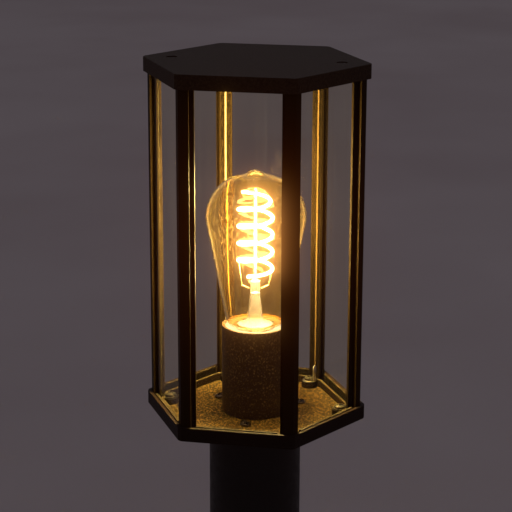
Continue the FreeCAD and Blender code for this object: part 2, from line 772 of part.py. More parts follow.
# Ceramic lampholder body: threaded foot, lead room, rivet hole and the bore for the shell
holder = new_body("lampholder_body", HOLDER_BASE)
holder_radius = "(sleeve_radius - sleeve_wall - holder_gap)"
shell_in = "(cap_radius + thread_gap)"
shell_out = f"({shell_in} + shell_wall)"
holder_bore = f"({shell_out} + screw_gap)"
bore_level = f"({BORE_FLOOR} - {HOLDER_BASE})"
room_top = f"({bore_level} - rivet_length)"
room_radius = "(nipple_radius + room_gap)"
thread_top = f"({room_top} - room_height)"
turned(holder, "holder_profile", [
    ("(nipple_radius + screw_gap)", "0"),
    (holder_radius, "0"),
    (holder_radius, f"({HOLDER_HEIGHT} - edge_round)"),
    (f"({holder_radius} - edge_round)", HOLDER_HEIGHT),
    (holder_bore, HOLDER_HEIGHT),
    (holder_bore, bore_level),
    ("(rivet_radius + screw_gap)", bore_level),
    ("(rivet_radius + screw_gap)", room_top),
    (room_radius, room_top),
    (room_radius, thread_top),
    ("(nipple_radius + screw_gap)", thread_top),
], {2: ("edge_round", 1)})
keep(holder)

# Screw shell in the bore and the centre contact on its floor
shell = new_body("lampholder_shell", BORE_FLOOR)
shell_top = f"({HOLDER_FACE} - {BORE_FLOOR} - shell_sink)"
turned(shell, "shell_profile", [
    (f"({shell_out} - shell_lip)", "0"),
    (shell_out, "0"),
    (shell_out, shell_top),
    (shell_in, shell_top),
    (shell_in, "contact_wall"),
    (f"({shell_out} - shell_lip)", "contact_wall"),
])
keep(shell)
contact = new_body("lampholder_contact", BORE_FLOOR)
turned(contact, "contact_profile", [
    ("0", "-rivet_length"),
    ("rivet_radius", "-rivet_length"),
    ("rivet_radius", "0"),
    ("contact_radius", "0"),
    ("contact_radius", "contact_wall"),
    ("bump_radius", "contact_wall"),
    ("(bump_radius * 0.8)", "contact_height"),
    ("0", "contact_height"),
])
keep(contact)

# Threaded nipple through tray, sleeve and holder, with an earth washer and a nut below the tray
nipple = new_body("lampholder_nipple", f"({TRAY} - nipple_below)")
nipple_ring = new_sketch(nipple, "nipple_ring")
draw_circle(nipple_ring, "0", "0", "nipple_radius")
draw_circle(nipple_ring, "0", "0", "nipple_bore")
pad(nipple, nipple_ring, f"({HOLDER_BASE} + {thread_top} - {TRAY} + nipple_below)")
keep(nipple)
earth_washer = new_body("earth_washer", f"({TRAY} - tag_wall)")
washer_ring = new_sketch(earth_washer, "washer_ring")
draw_circle(washer_ring, "0", "0", "tag_radius")
draw_circle(washer_ring, "0", "0", "(nipple_radius + screw_gap)")
pad(earth_washer, washer_ring, "tag_wall")
washer_tail = new_sketch(earth_washer, "washer_tail")
draw(washer_tail, rectangle(
    "(-tag_width / 2)", "(tag_width / 2)", "(nipple_radius + tag_width / 3)", f"({pole_line} + lead_radius)"
))
pad(earth_washer, washer_tail, "tag_wall")
keep(earth_washer)
nut = new_body("nipple_nut", f"({TRAY} - tag_wall - nut_height)")
nut_outline = new_sketch(nut, "nut_outline")
nut_corner = "(nut_flats / 2 / cos(30))"
draw(nut_outline, [(f"({nut_corner} * cos({a}))", f"({nut_corner} * sin({a}))") for a in range(0, 360, 60)])
draw_circle(nut_outline, "0", "0", "(nipple_radius + screw_gap)")
pad(nut, nut_outline, "nut_height")
keep(nut)


# Leads inside the post: straight runs joined by tangent arcs, swept with a round section
def lead_path(corners, bend):
    """Edges through the corners with every inner corner rounded by an arc of the bend radius."""
    edges = []
    start = corners[0]
    for before, corner, after in zip(corners, corners[1:], corners[2:]):
        back = (before - corner).normalize()
        ahead = (after - corner).normalize()
        half = back.getAngle(ahead) / 2
        reach = bend / math.tan(half)
        enter = corner + back * reach
        leave = corner + ahead * reach
        middle = corner + (back + ahead).normalize() * (bend / math.sin(half) - bend)
        edges.append(Part.LineSegment(start, enter).toShape())
        edges.append(Part.Arc(enter, middle, leave).toShape())
        start = leave
    edges.append(Part.LineSegment(start, corners[-1]).toShape())
    return Part.Wire(edges)


def lead(label, corners):
    path = lead_path(corners, number("lead_bend"))
    run = (corners[1] - corners[0]).normalize()
    ring = Part.Wire([Part.Circle(corners[0], run, number("lead_radius")).toShape()])
    item = doc.addObject("Part::Feature", label)
    item.Shape = path.makePipeShell([ring], True, True)
    keep(item, label)


entry = number(BLOCK_TOP) - number("lead_entry")
lead_room = number(f"{HOLDER_BASE} + {thread_top} + room_height * 0.9")
for label, sign in (("live_lead", -1), ("neutral_lead", 1)):
    low_x = sign * number("pole_pitch")
    pole_y = number(pole_line)
    high_x = sign * number("lead_pair")
    lead(label, [
        FreeCAD.Vector(low_x, pole_y, entry),
        FreeCAD.Vector(low_x, pole_y, number(f"{BLOCK_TOP} + 4")),
        FreeCAD.Vector(high_x, 0, number(f"{TRAY} - nipple_below - 5")),
        FreeCAD.Vector(high_x, 0, lead_room),
    ])
earth_lead = new_body("earth_lead", f"({BLOCK_TOP} - lead_entry)")
earth_run = new_sketch(earth_lead, "earth_run")
draw_circle(earth_run, "0", pole_line, "lead_radius")
pad(earth_lead, earth_run, f"({TRAY} - tag_wall - {BLOCK_TOP} + lead_entry)")
keep(earth_lead)

# Bulb cap: thin metal can, insulator cone and tip contact
cap = new_body("bulb_cap", CAP_END)
turned(cap, "cap_profile", [
    ("(tip_radius - 1)", "0"),
    ("cap_mouth", "0"),
    ("cap_radius", "cap_taper"),
    ("cap_radius", "cap_length"),
    ("(cap_radius - cap_wall)", "cap_length"),
    ("(cap_radius - cap_wall)", "(cap_taper + cap_wall / 2)"),
    ("(cap_mouth - cap_wall)", "cap_wall"),
    ("(tip_radius - 1)", "cap_wall"),
])
keep(cap)
insulator = new_body("bulb_cap_insulator", f"({CAP_END} - insulator_height)")
turned(insulator, "insulator_profile", [
    ("0", "0"),
    ("(tip_radius + 0.4)", "0"),
    ("(cap_mouth - 0.4)", "insulator_height"),
    ("0", "insulator_height"),
])
keep(insulator)
tip = new_body("bulb_tip_contact", TIP_END)
turned(tip, "tip_profile", [
    ("0", "0"),
    ("(tip_radius * 0.7)", "0"),
    ("tip_radius", "(tip_height * 0.6)"),
    ("tip_radius", "tip_height"),
    ("0", "tip_height"),
])
keep(tip)

# Bulb glass: a dome with a pip, a cone tangent to it and a rounded neck, one wall thick all over
glass = new_body("bulb_glass", CAP_TOP)
dome_radius = "(bulb_radius - dome_flat)"
neck_x = "(cap_radius + neck_ledge)"
run_x = f"(dome_flat - {neck_x})"
run_z = "(bulb_wide - neck_round)"
lean = f"(atan({run_x} / {run_z}) + asin(({dome_radius} - neck_round) / sqrt({run_x} ^ 2 + {run_z} ^ 2)))"
foot_x = "(cap_radius - cap_wall - fit_gap)"
dome_in = f"({dome_radius} - glass_wall)"
neck_in = "(neck_round - glass_wall)"
pip_in = "(pip_radius - glass_wall)"
pip_edge = f"(bulb_wide + sqrt({dome_radius} ^ 2 - (pip_radius - dome_flat) ^ 2))"
pip_edge_in = f"(bulb_wide + sqrt({dome_in} ^ 2 - ({pip_in} - dome_flat) ^ 2))"
pip_top = f"({pip_edge} + pip_height)"
pip_rise_in = f"({pip_top} - glass_wall - {pip_edge_in})"
turned(glass, "glass_profile", [
    (foot_x, "-glass_insert"),
    (foot_x, "0"),
    (neck_x, "0"),
    (f"({neck_x} + neck_round * cos({lean}))", f"(neck_round - neck_round * sin({lean}))"),
    (f"(dome_flat + {dome_radius} * cos({lean}))", f"(bulb_wide - {dome_radius} * sin({lean}))"),
    ("pip_radius", pip_edge),
    ("0", pip_top),
    ("0", f"({pip_top} - glass_wall)"),
    (pip_in, pip_edge_in),
    (f"(dome_flat + {dome_in} * cos({lean}))", f"(bulb_wide - {dome_in} * sin({lean}))"),
    (f"({neck_x} + {neck_in} * cos({lean}))", f"(neck_round - {neck_in} * sin({lean}))"),
    (neck_x, "glass_wall"),
    (f"({foot_x} - glass_wall)", "glass_wall"),
    (f"({foot_x} - glass_wall)", "-glass_insert"),
], {
    2: ("neck_round", 1),
    4: (dome_radius, 1),
    5: ("((pip_radius ^ 2 + pip_height ^ 2) / (2 * pip_height))", 1),
    7: (f"(({pip_in} ^ 2 + {pip_rise_in} ^ 2) / (2 * {pip_rise_in}))", -1),
    8: (dome_in, -1),
    10: (neck_in, -1),
})
keep(glass)

# Stem: flare fused inside the neck, a bell that narrows to the press tube, and the filament's rod
stem = new_body("bulb_stem", CAP_TOP)
flare_x = f"({foot_x} - glass_wall - screw_gap)"
bell = f"({flare_x} - stem_waist)"
bell_in = f"({bell} + glass_wall)"
turned(stem, "stem_profile", [
    (f"({flare_x} - glass_wall)", "-glass_insert"),
    (flare_x, "-glass_insert"),
    (flare_x, "0"),
    ("stem_waist", bell),
    ("stem_tube", "stem_flare"),
    ("stem_tube", "stem_height"),
    ("rod_radius", "(stem_height + stem_tube / 2)"),
    ("rod_radius", "(bulb_wide + rod_top)"),
    ("0", "(bulb_wide + rod_top + rod_radius)"),
    ("0", "(stem_flare + stem_tube)"),
    ("(stem_tube - glass_wall)", "(stem_flare + stem_tube / 2)"),
    ("(stem_tube - glass_wall)", "stem_flare"),
    ("(stem_waist - glass_wall)", bell),
    (f"({flare_x} - glass_wall)", f"({bell} - sqrt({bell_in} ^ 2 - glass_wall ^ 2))"),
], {2: (bell, -1), 12: (bell_in, 1)})
keep(stem)

# Filament: a right-hand coil that winds out from the stem and draws in to the rod at its top
COIL_TURNS = 5
COIL_START = -169
LOWER_TURNS = 0.5
UPPER_TURNS = 1.0
POINTS_PER_TURN = 12
STRAND_SIDES = 8
coil_radius = number("coil_radius")


def eased(share):
    return (1 - math.cos(math.pi * max(share, 0.0))) / 2


def coil_point(turn):
    """A point of the filament's line, with turns counted from its lower end."""
    radius = coil_radius
    radius -= (coil_radius - number("coil_lower")) * eased(1 - turn / LOWER_TURNS)
    radius -= (coil_radius - number("coil_upper")) * eased(1 - (COIL_TURNS - turn) / UPPER_TURNS)
    angle = math.radians(COIL_START + 360 * turn)
    level = number(f"{CAP_TOP} + coil_base + coil_pitch * {turn}")
    return FreeCAD.Vector(radius * math.cos(angle), radius * math.sin(angle), level)


coil_curve = Part.BSplineCurve()
coil_curve.interpolate([coil_point(i / POINTS_PER_TURN) for i in range(COIL_TURNS * POINTS_PER_TURN + 1)])
coil = doc.addObject("Part::Feature", "coil")
coil.Shape = coil_curve.toShape()
coil_way = coil_curve.tangent(coil_curve.FirstParameter)[0]
strand = doc.addObject("Part::RegularPolygon", "strand")
strand.Polygon = STRAND_SIDES
bind(strand, "Circumradius", "strand_radius")
strand.Placement = FreeCAD.Placement(coil_point(0), FreeCAD.Rotation(FreeCAD.Vector(0, 0, 1), coil_way))
filament = doc.addObject("Part::Sweep", "bulb_filament")
filament.Sections = [strand]
filament.Spine = (coil, ["Edge1"])
filament.Solid = True
filament.Frenet = True
keep(filament, "bulb_filament")

# Wires: a lead to each end of the filament and two bent supports under its lowest turn
wire_radius = number("wire_radius")
wire_gap = number("strand_radius + weld_gap")


def wire_along(points):
    """A round wire through the points, which stops just short of the strand at the last one."""
    points = list(points)
    points[-1] = points[-1] - (points[-1] - points[-2]).normalize() * wire_gap
    runs = [
        Part.makeCylinder(wire_radius, (b - a).Length, a, b - a) for a, b in zip(points, points[1:])
    ]
    bends = [Part.makeSphere(wire_radius, point) for point in points[1:-1]]
    return runs[0].multiFuse(runs[1:] + bends) if bends else runs[0]


def outward(target, radius, level):
    """The point at a radius and a level on the same side of the axis as the target."""
    return FreeCAD.Vector(target.x, target.y, 0).normalize() * radius + FreeCAD.Vector(0, 0, level)


stem_side = number("stem_tube + wire_radius")
stem_top = number(f"{CAP_TOP} + stem_height")
wire_level = stem_top - number("wire_drop")
lower_end, upper_end = coil_point(0), coil_point(COIL_TURNS)
wires = [
    wire_along([outward(lower_end, stem_side, stem_top - number("stem_tube / 2")), lower_end]),
    wire_along([outward(upper_end, number("rod_radius + weld_gap"), upper_end.z), upper_end]),
]
for turn in (0.5, 1.0):
    held = coil_point(turn)
    bend = outward(held, coil_radius - number("wire_bend"), wire_level + number("wire_bend"))
    wires.append(wire_along([outward(held, stem_side, wire_level), bend, held]))
supports = doc.addObject("Part::Feature", "bulb_support_wires")
supports.Shape = Part.makeCompound(wires)
keep(supports, "bulb_support_wires")

doc.recompute()
for item in doc.Objects:
    if "Invalid" in item.State or "Error" in item.State:
        raise RuntimeError(f"{item.Label}: {item.State}")
os.makedirs("parts", exist_ok=True)
for item in parts:
    shape = item.Shape
    if shape.isNull() or not shape.isValid() or shape.Volume <= 0:
        raise RuntimeError(f"{item.Label} has no valid solid")
    shape.exportStep(f"parts/{item.Label}.step")
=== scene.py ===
import json
import math

import bmesh
import bpy
from mathutils import Matrix, Vector, noise


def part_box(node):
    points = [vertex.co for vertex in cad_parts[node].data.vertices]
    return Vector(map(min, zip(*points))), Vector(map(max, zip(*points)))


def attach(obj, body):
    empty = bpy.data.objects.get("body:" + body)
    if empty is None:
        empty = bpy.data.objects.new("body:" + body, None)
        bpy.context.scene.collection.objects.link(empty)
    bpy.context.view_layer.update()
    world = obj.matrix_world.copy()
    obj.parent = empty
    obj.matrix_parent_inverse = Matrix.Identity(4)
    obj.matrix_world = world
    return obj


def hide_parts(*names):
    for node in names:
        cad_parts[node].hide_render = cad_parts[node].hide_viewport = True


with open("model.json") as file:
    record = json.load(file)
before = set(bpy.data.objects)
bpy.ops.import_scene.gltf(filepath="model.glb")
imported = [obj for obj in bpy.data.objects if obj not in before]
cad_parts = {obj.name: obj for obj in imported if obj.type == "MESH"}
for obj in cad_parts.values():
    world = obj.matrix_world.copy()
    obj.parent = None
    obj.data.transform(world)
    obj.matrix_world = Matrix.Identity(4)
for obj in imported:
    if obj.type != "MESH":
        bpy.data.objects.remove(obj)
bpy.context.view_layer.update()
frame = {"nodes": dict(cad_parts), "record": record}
NODES = frame["nodes"]
MM = 0.001
SIDES = 6

# Where the finishes are worn or dirty, where highlights and shade are painted on them, and how much of each
# shows
EDGE_FADE = 0.25 * MM
LEVEL_NEAR = 0.02 * MM
PLAIN_SHARE = 0.5
# Painted highlight lines on the posts' leg ends and inner bead: where they start and how pale they are
LEG_HIGHLIGHT_FROM = 3.5 * MM
LEG_HIGHLIGHT_SHARE = 0.05
BEAD_HIGHLIGHT_HALF = 0.4 * MM
INNER_REACH = 62.0 * MM
OUTER_REACH = 62.6 * MM
OUTER_WEAR = 0.08
SPECK_WEAR = 0.09
# Painted shade on the back right post: its pale lines and specks fade to a share there
DIMMED_POST_WAY = (math.cos(math.pi / 3), math.sin(math.pi / 3), 0)
DIMMING_START = 45.0 * MM
DIMMING_END = 53.5 * MM
DIMMED_POST_SHARE = 0.25
FOOT_SPECKS = 0.35
SEAL_PALE = 1.0 * MM
SMOKE = 0.034
HAZE_START = 0.66
HAZE_END = 0.86
HAZE = 0.12


# Materials: each is a Principled surface named for the real finish and for any light or shade painted on it,
# with patterns in real millimetres

def linear(code):
    """An sRGB colour such as "2a1f1b" as the linear values that Blender's sockets take."""
    values = [int(code[i:i + 2], 16) / 255 for i in (0, 2, 4)]
    return tuple(v / 12.92 if v <= 0.04045 else ((v + 0.055) / 1.055) ** 2.4 for v in values) + (1.0,)


def add_node(tree, kind, inputs=(), **settings):
    """A new node: inputs are (socket or value, input) pairs, settings its properties or named inputs."""
    node = tree.nodes.new(kind)
    for name, value in settings.items():
        if hasattr(node, name):
            setattr(node, name, value)
        else:
            node.inputs[name.replace("_", " ")].default_value = value
    for source, target in inputs:
        if isinstance(source, bpy.types.NodeSocket):
            tree.links.new(source, node.inputs[target])
        else:
            node.inputs[target].default_value = source
    return node


def surface(name, colour, rough, **sockets):
    """A material with one Principled surface and the Object coordinates that its patterns read."""
    material = bpy.data.materials.new(name)
    material.use_nodes = True
    shader = material.node_tree.nodes["Principled BSDF"]
    shader.inputs["Base Color"].default_value = linear(colour)
    shader.inputs["Roughness"].default_value = rough
    for socket, value in sockets.items():
        shader.inputs[socket.replace("_", " ")].default_value = value
    add_node(material.node_tree, "ShaderNodeTexCoord", name="place")
    return material


def blotches(material, size_mm, low=0.38, high=0.62, squash=1.0):
    """Patches about size_mm across, as a share from 0, at a low value of the noise, to 1, at a high one.

    A squash below 1 draws them out upwards, as streaks.
    """
    tree = material.node_tree
    place = tree.nodes["place"].outputs["Object"]
    drawn = add_node(tree, "ShaderNodeVectorMath", [(place, 0), ((1, 1, squash), 1)], operation="MULTIPLY")
    patches = add_node(
        tree, "ShaderNodeTexNoise", [(drawn.outputs["Vector"], "Vector")],
        Scale=1 / (size_mm * MM), Detail=3.0, Roughness=0.6,
    )
    share = add_node(
        tree, "ShaderNodeMapRange", [(patches.outputs["Fac"], "Value")], From_Min=low, From_Max=high,
    )
    return share.outputs["Result"]


def above(material, low, high):
    """A share that grows from 0 at one level of the lamp to 1 at a higher one."""
    tree = material.node_tree
    levels = add_node(tree, "ShaderNodeSeparateXYZ", [(tree.nodes["place"].outputs["Object"], "Vector")])
    share = add_node(
        tree, "ShaderNodeMapRange", [(levels.outputs["Z"], "Value")], From_Min=low, From_Max=high,
    )
    return share.outputs["Result"]


def tint(material, share, *tones, socket="Base Color"):
    """Spreads tones evenly over a share from 0 to 1: hex colours, or plain numbers for another socket."""
    tree = material.node_tree
    ramp = add_node(tree, "ShaderNodeValToRGB", [(share, "Fac")])
    elements = ramp.color_ramp.elements
    for count in range(1, len(tones) - 1):
        elements.new(count / (len(tones) - 1))
    for element, tone in zip(elements, tones):
        element.color = linear(tone) if isinstance(tone, str) else (tone, tone, tone, 1.0)
    tree.links.new(ramp.outputs["Color"], tree.nodes["Principled BSDF"].inputs[socket])
    return material


def add_grain(material, size_mm, depth_mm):
    """A bump of grain, as on a sand-textured coat or a drawn metal, drawn coarser so that it shows."""
    tree = material.node_tree
    bump = add_node(
        tree, "ShaderNodeBump", [(blotches(material, size_mm, low=0.2, high=0.8), "Height")],
        Strength=1.0, Distance=depth_mm * MM,
    )
    tree.links.new(bump.outputs["Normal"], tree.nodes["Principled BSDF"].inputs["Normal"])
    return material


def head_coat():
    """Sand-textured powder coat on lid and top frame: dark bronze, its grit drawn coarser to show."""
    coat = surface("sand_textured_bronze_powder_coat", "2a1d14", rough=0.5, Specular_IOR_Level=0.08)
    tint(coat, blotches(coat, size_mm=1.2, low=0.4, high=0.62), "22170f", "34261a")
    return add_grain(coat, size_mm=1.2, depth_mm=0.25)


def tray_coat():
    """The same coat on the tray: plain on its sides, and grainy on its floor, where pale specks are painted
    as glints of the lamp.

    The specks are drawn coarser so that they show.
    """
    coat = surface("bronze_powder_coat_painted_floor_glints", "2a1d14", rough=0.5, Specular_IOR_Level=0.08)
    tree = coat.node_tree
    floor_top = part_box("lampholder_sleeve")[0][2]
    levels = add_node(tree, "ShaderNodeSeparateXYZ", [(tree.nodes["place"].outputs["Object"], "Vector")])
    floor = add_node(
        tree, "ShaderNodeMath", [(levels.outputs["Z"], 0), (floor_top, 1), (LEVEL_NEAR, 2)],
        operation="COMPARE",
    )
    # Grain on the floor, its pale specks painted as glints of the lamp
    grit_and_glints = blotches(coat, size_mm=1.1, low=0.42, high=0.6)
    either = add_node(
        tree, "ShaderNodeMix", [(floor.outputs["Value"], 0), (PLAIN_SHARE, 2), (grit_and_glints, 3)], data_type="FLOAT",
    )
    tint(coat, either.outputs[0], "0c0703", "150d09", "72582e")
    return add_grain(coat, size_mm=1.2, depth_mm=0.25)


def ring_coat():
    """The coat on the glazing ring, dark on its faces, with a patchy highlight painted along its upper edge.
    """
    coat = surface("bronze_powder_coat_painted_top_highlight", "140c07", rough=0.45, Specular_IOR_Level=0.06)
    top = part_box("glazing_ring")[1][2]
    # A pale band painted along the upper edge as the ring's highlight
    pale_share = above(coat, top - 2 * EDGE_FADE, top - EDGE_FADE)
    patches = blotches(coat, size_mm=3.0, low=0.2, high=0.6)
    patchy = add_node(coat.node_tree, "ShaderNodeMath", [(pale_share, 0), (patches, 1)], operation="MULTIPLY")
    tint(coat, patchy.outputs["Value"], "0f0905", "362c1c")
    return add_grain(coat, size_mm=1.2, depth_mm=0.2)


def post_coat():
    """Satin black powder coat on tube, post head and foot, with a faint orange peel."""
    coat = surface("satin_black_powder_coat", "0e0b0c", rough=0.5, Specular_IOR_Level=0.25)
    tint(coat, blotches(coat, size_mm=6.0), 0.44, 0.56, socket="Roughness")
    return add_grain(coat, size_mm=1.2, depth_mm=0.02)


def corner_coat():
    """Sand-textured coat on the extruded posts, with highlight lines painted on the inner bead and the ends
    of the legs.

    Its specks are drawn coarser so that they show, and painted shade makes the back right post's lines and
    specks fainter than the others'.
    """
    coat = surface("bronze_powder_coat_painted_highlights", "0a0604", rough=0.35, Specular_IOR_Level=0.03)
    tree = coat.node_tree
    tree.nodes["Principled BSDF"].inputs["Specular Tint"].default_value = linear("ffc070")
    place = tree.nodes["place"].outputs["Object"]
    flat = add_node(tree, "ShaderNodeVectorMath", [(place, 0), ((1, 1, 0), 1)], operation="MULTIPLY")
    length = add_node(tree, "ShaderNodeVectorMath", [(flat.outputs["Vector"], 0)], operation="LENGTH")
    reach = length.outputs["Value"]
    parts = add_node(tree, "ShaderNodeSeparateXYZ", [(place, "Vector")])
    turn = add_node(
        tree, "ShaderNodeMath", [(parts.outputs["Y"], 0), (parts.outputs["X"], 1)], operation="ARCTAN2",
    )
    fold = add_node(
        tree, "ShaderNodeMath", [(turn.outputs["Value"], 0), (math.pi / SIDES, 1)], operation="PINGPONG",
    )
    sine = add_node(tree, "ShaderNodeMath", [(fold.outputs["Value"], 0)], operation="SINE")
    aside = add_node(tree, "ShaderNodeMath", [(sine.outputs["Value"], 0), (reach, 1)], operation="MULTIPLY")
    # Painted highlight lines along the ends of the legs and, below, along the crest of the bead
    leg = add_node(
        tree, "ShaderNodeMapRange", [(aside.outputs["Value"], "Value")],
        From_Min=LEG_HIGHLIGHT_FROM - EDGE_FADE, From_Max=LEG_HIGHLIGHT_FROM, To_Max=LEG_HIGHLIGHT_SHARE,
    )
    bead = add_node(
        tree, "ShaderNodeMapRange", [(aside.outputs["Value"], "Value")],
        From_Min=BEAD_HIGHLIGHT_HALF, From_Max=BEAD_HIGHLIGHT_HALF + EDGE_FADE, To_Min=1.0, To_Max=0.0,
    )
    inside = add_node(
        tree, "ShaderNodeMapRange", [(reach, "Value")],
        From_Min=INNER_REACH, From_Max=INNER_REACH + EDGE_FADE, To_Min=1.0, To_Max=0.0,
    )
    outside = add_node(
        tree, "ShaderNodeMapRange", [(reach, "Value")],
        From_Min=OUTER_REACH, From_Max=OUTER_REACH + EDGE_FADE, To_Max=OUTER_WEAR,
    )
    specks = add_node(
        tree, "ShaderNodeMath", [(blotches(coat, size_mm=1.4, low=0.48, high=0.62), 0), (SPECK_WEAR, 1)],
        operation="MULTIPLY",
    )
    highlight_lines = add_node(
        tree, "ShaderNodeMath", [(leg.outputs["Result"], 0), (bead.outputs["Result"], 1)],
        operation="MAXIMUM",
    )
    inner = add_node(
        tree, "ShaderNodeMath", [(highlight_lines.outputs["Value"], 0), (inside.outputs["Result"], 1)],
        operation="MULTIPLY",
    )
    body = add_node(
        tree, "ShaderNodeMath", [(outside.outputs["Result"], 0), (specks.outputs["Value"], 1)],
        operation="MAXIMUM",
    )
    pale = add_node(
        tree, "ShaderNodeMath", [(inner.outputs["Value"], 0), (body.outputs["Value"], 1)],
        operation="MAXIMUM",
    )
    # Painted shade: the back right post keeps only a share of its pale lines and specks
    toward = add_node(
        tree, "ShaderNodeVectorMath", [(place, 0), (DIMMED_POST_WAY, 1)], operation="DOT_PRODUCT",
    )
    dimmed_post = add_node(
        tree, "ShaderNodeMapRange", [(toward.outputs["Value"], "Value")],
        From_Min=DIMMING_START, From_Max=DIMMING_END, To_Min=1.0, To_Max=DIMMED_POST_SHARE,
    )
    pale_share = add_node(
        tree, "ShaderNodeMath", [(pale.outputs["Value"], 0), (dimmed_post.outputs["Result"], 1)],
        operation="MULTIPLY",
    )
    # Dark coat, pale where the highlight lines are painted and where the specks and the outer faces show
    tint(coat, pale_share.outputs["Value"], "040302", "4a3820", "5e5844")
    tint(coat, blotches(coat, size_mm=8.0), 0.3, 0.42, socket="Roughness")
    return add_grain(coat, size_mm=1.0, depth_mm=0.1)


def sleeve_coat():
    """Brown coat on the drawn sleeve, with lighter specks, drawn coarser, that thin out towards its foot."""
    coat = surface("speckled_brown_coat", "3c2919", rough=0.5, Specular_IOR_Level=0.25)
    low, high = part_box("lampholder_sleeve")
    upper = above(coat, low[2], high[2])
    tree = coat.node_tree
    fewer = add_node(
        tree, "ShaderNodeMath", [(upper, 0), (1 - FOOT_SPECKS, 1), (FOOT_SPECKS, 2)],
        operation="MULTIPLY_ADD",
    )
    specks = blotches(coat, size_mm=1.1, low=0.56, high=0.72)
    seen = add_node(tree, "ShaderNodeMath", [(fewer.outputs["Value"], 0), (specks, 1)], operation="MULTIPLY")
    tint(coat, seen.outputs["Value"], "382618", "c09a54")
    return add_grain(coat, size_mm=1.2, depth_mm=0.05)


def pane_glass():
    """Clear float glass, faintly warm, with thin upright smears of dust that the lamp lights."""
    glass = surface("clear_float_glass", "fefcf4", rough=0.0, Transmission_Weight=1.0, IOR=1.1)
    smears = blotches(glass, size_mm=6.0, low=0.5, high=0.7, squash=0.04)
    return tint(glass, smears, 0.9999, 0.9955, socket="Transmission Weight")


def bulb_glass():
    """Thin blown amber glass with a smoky bloom that glows from inside, most where it is seen edge on."""
    glass = surface("blown_amber_glass", "ffe8b2", rough=0.0, Transmission_Weight=1.0, IOR=1.45)
    tree = glass.node_tree
    facing = add_node(tree, "ShaderNodeLayerWeight", Blend=0.5)
    edge = add_node(
        tree, "ShaderNodeMapRange", [(facing.outputs["Facing"], "Value")],
        From_Min=HAZE_START, From_Max=HAZE_END, To_Max=HAZE,
    )
    smoke = blotches(glass, size_mm=1.6, low=0.5, high=0.58, squash=0.9)
    clear = add_node(tree, "ShaderNodeMath", [(smoke, 0), (-SMOKE, 1), (1.0, 2)], operation="MULTIPLY_ADD")
    weight = add_node(
        tree, "ShaderNodeMath", [(clear.outputs["Value"], 0), (edge.outputs["Result"], 1)],
        operation="SUBTRACT",
    )
    tree.links.new(weight.outputs["Value"], tree.nodes["Principled BSDF"].inputs["Transmission Weight"])
    return glass


def stem_glass():
    """Pressed stem glass, milky where it was melted."""
    glass = surface("milky_stem_glass", "fffefc", rough=0.15, Transmission_Weight=0.82, IOR=1.45)
    return add_grain(glass, size_mm=2.0, depth_mm=0.05)


def filament():
    """Phosphor coat of the strand, glowing warm white."""
    coat = surface("glowing_phosphor", "ffc878", rough=0.6, Emission_Strength=26.0)
    coat.node_tree.nodes["Principled BSDF"].inputs["Emission Color"].default_value = linear("fff0d4")
    return add_grain(coat, size_mm=0.8, depth_mm=0.03)


def metal(name, colour, rough):
    """Bare or plated metal with handling marks in its gloss."""
    shine = surface(name, colour, rough, Metallic=1.0)
    polished = rough * 0.8
    smeared = rough * 1.3
    tint(shine, blotches(shine, size_mm=3.0), polished, smeared, socket="Roughness")
    return add_grain(shine, size_mm=0.8, depth_mm=0.015)


def moulded(name, colour, rough, grain_mm=1.5):
    """Moulded plastic, rubber or ceramic with a fine even grain."""
    body = surface(name, colour, rough)
    smooth = rough * 0.85
    dull = rough * 1.15
    tint(body, blotches(body, size_mm=4.0), smooth, dull, socket="Roughness")
    return add_grain(body, grain_mm, depth_mm=0.02)


def pane_sealant():
    """Silicone pressed in by hand: pale and uneven along its upper edge, dark below it."""
    bead = surface("pale_silicone", "c8bda4", rough=0.6, Specular_IOR_Level=0.05)
    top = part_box("pane_seals")[1][2]
    upper = above(bead, top - SEAL_PALE, top - SEAL_PALE / 2)
    patches = blotches(bead, size_mm=2.0, low=0.3, high=0.6)
    patchy = add_node(bead.node_tree, "ShaderNodeMath", [(upper, 0), (patches, 1)], operation="MULTIPLY")
    tint(bead, patchy.outputs["Value"], "060402", "2c2418")
    return add_grain(bead, size_mm=0.7, depth_mm=0.1)


MATERIALS = {
    "head_coat": head_coat(),
    "post_coat": post_coat(),
    "corner_coat": corner_coat(),
    "sleeve_coat": sleeve_coat(),
    "pane_glass": pane_glass(),
    "bulb_glass": bulb_glass(),
    "stem_glass": stem_glass(),
    "filament": filament(),
    # Thin bright wires that pick up the coil's glow
    "wire": metal("drawn_nickel_wire", "e0d8c8", rough=0.3),
    # Silvery cap and tip, shown when the bulb is unscrewed
    "cap_metal": metal("rolled_nickel_plate", "c9c4ba", rough=0.25),
    # Glossy black glass around the tip contact
    "cap_insulator": moulded("black_vitrite", "0c0c0d", rough=0.2),
    # White face that the lamp lights up inside the sleeve
    "porcelain": moulded("glazed_porcelain", "e4dfd4", rough=0.2, grain_mm=3.0),
    # Yellow metal of contact, shell and nipple
    "brass": metal("turned_brass", "c9a35a", rough=0.3),
    # Dull grey washers, screws and nuts
    "zinc_steel": metal("zinc_plated_steel", "60584a", rough=0.4),
    # Dark screws that hardly stand out from the coat
    "black_steel": metal("blackened_steel", "524c48", rough=0.48),
    # Matt black line between lid and frame, and under the tray
    "gasket_rubber": moulded("black_rubber", "121212", rough=0.75),
    "pane_sealant": pane_sealant(),
    # Pale block inside the post
    "terminal_plastic": moulded("off_white_polyamide", "dcd8cc", rough=0.45),
    # Brown lead of the live pole
    "live_cover": moulded("brown_silicone_sheath", "5a3420", rough=0.45),
    # Blue lead of the neutral pole
    "neutral_cover": moulded("blue_silicone_sheath", "2c5fa8", rough=0.45),
    # Green lead to earth
    "earth_cover": moulded("green_silicone_sheath", "3f8f3c", rough=0.45),
}

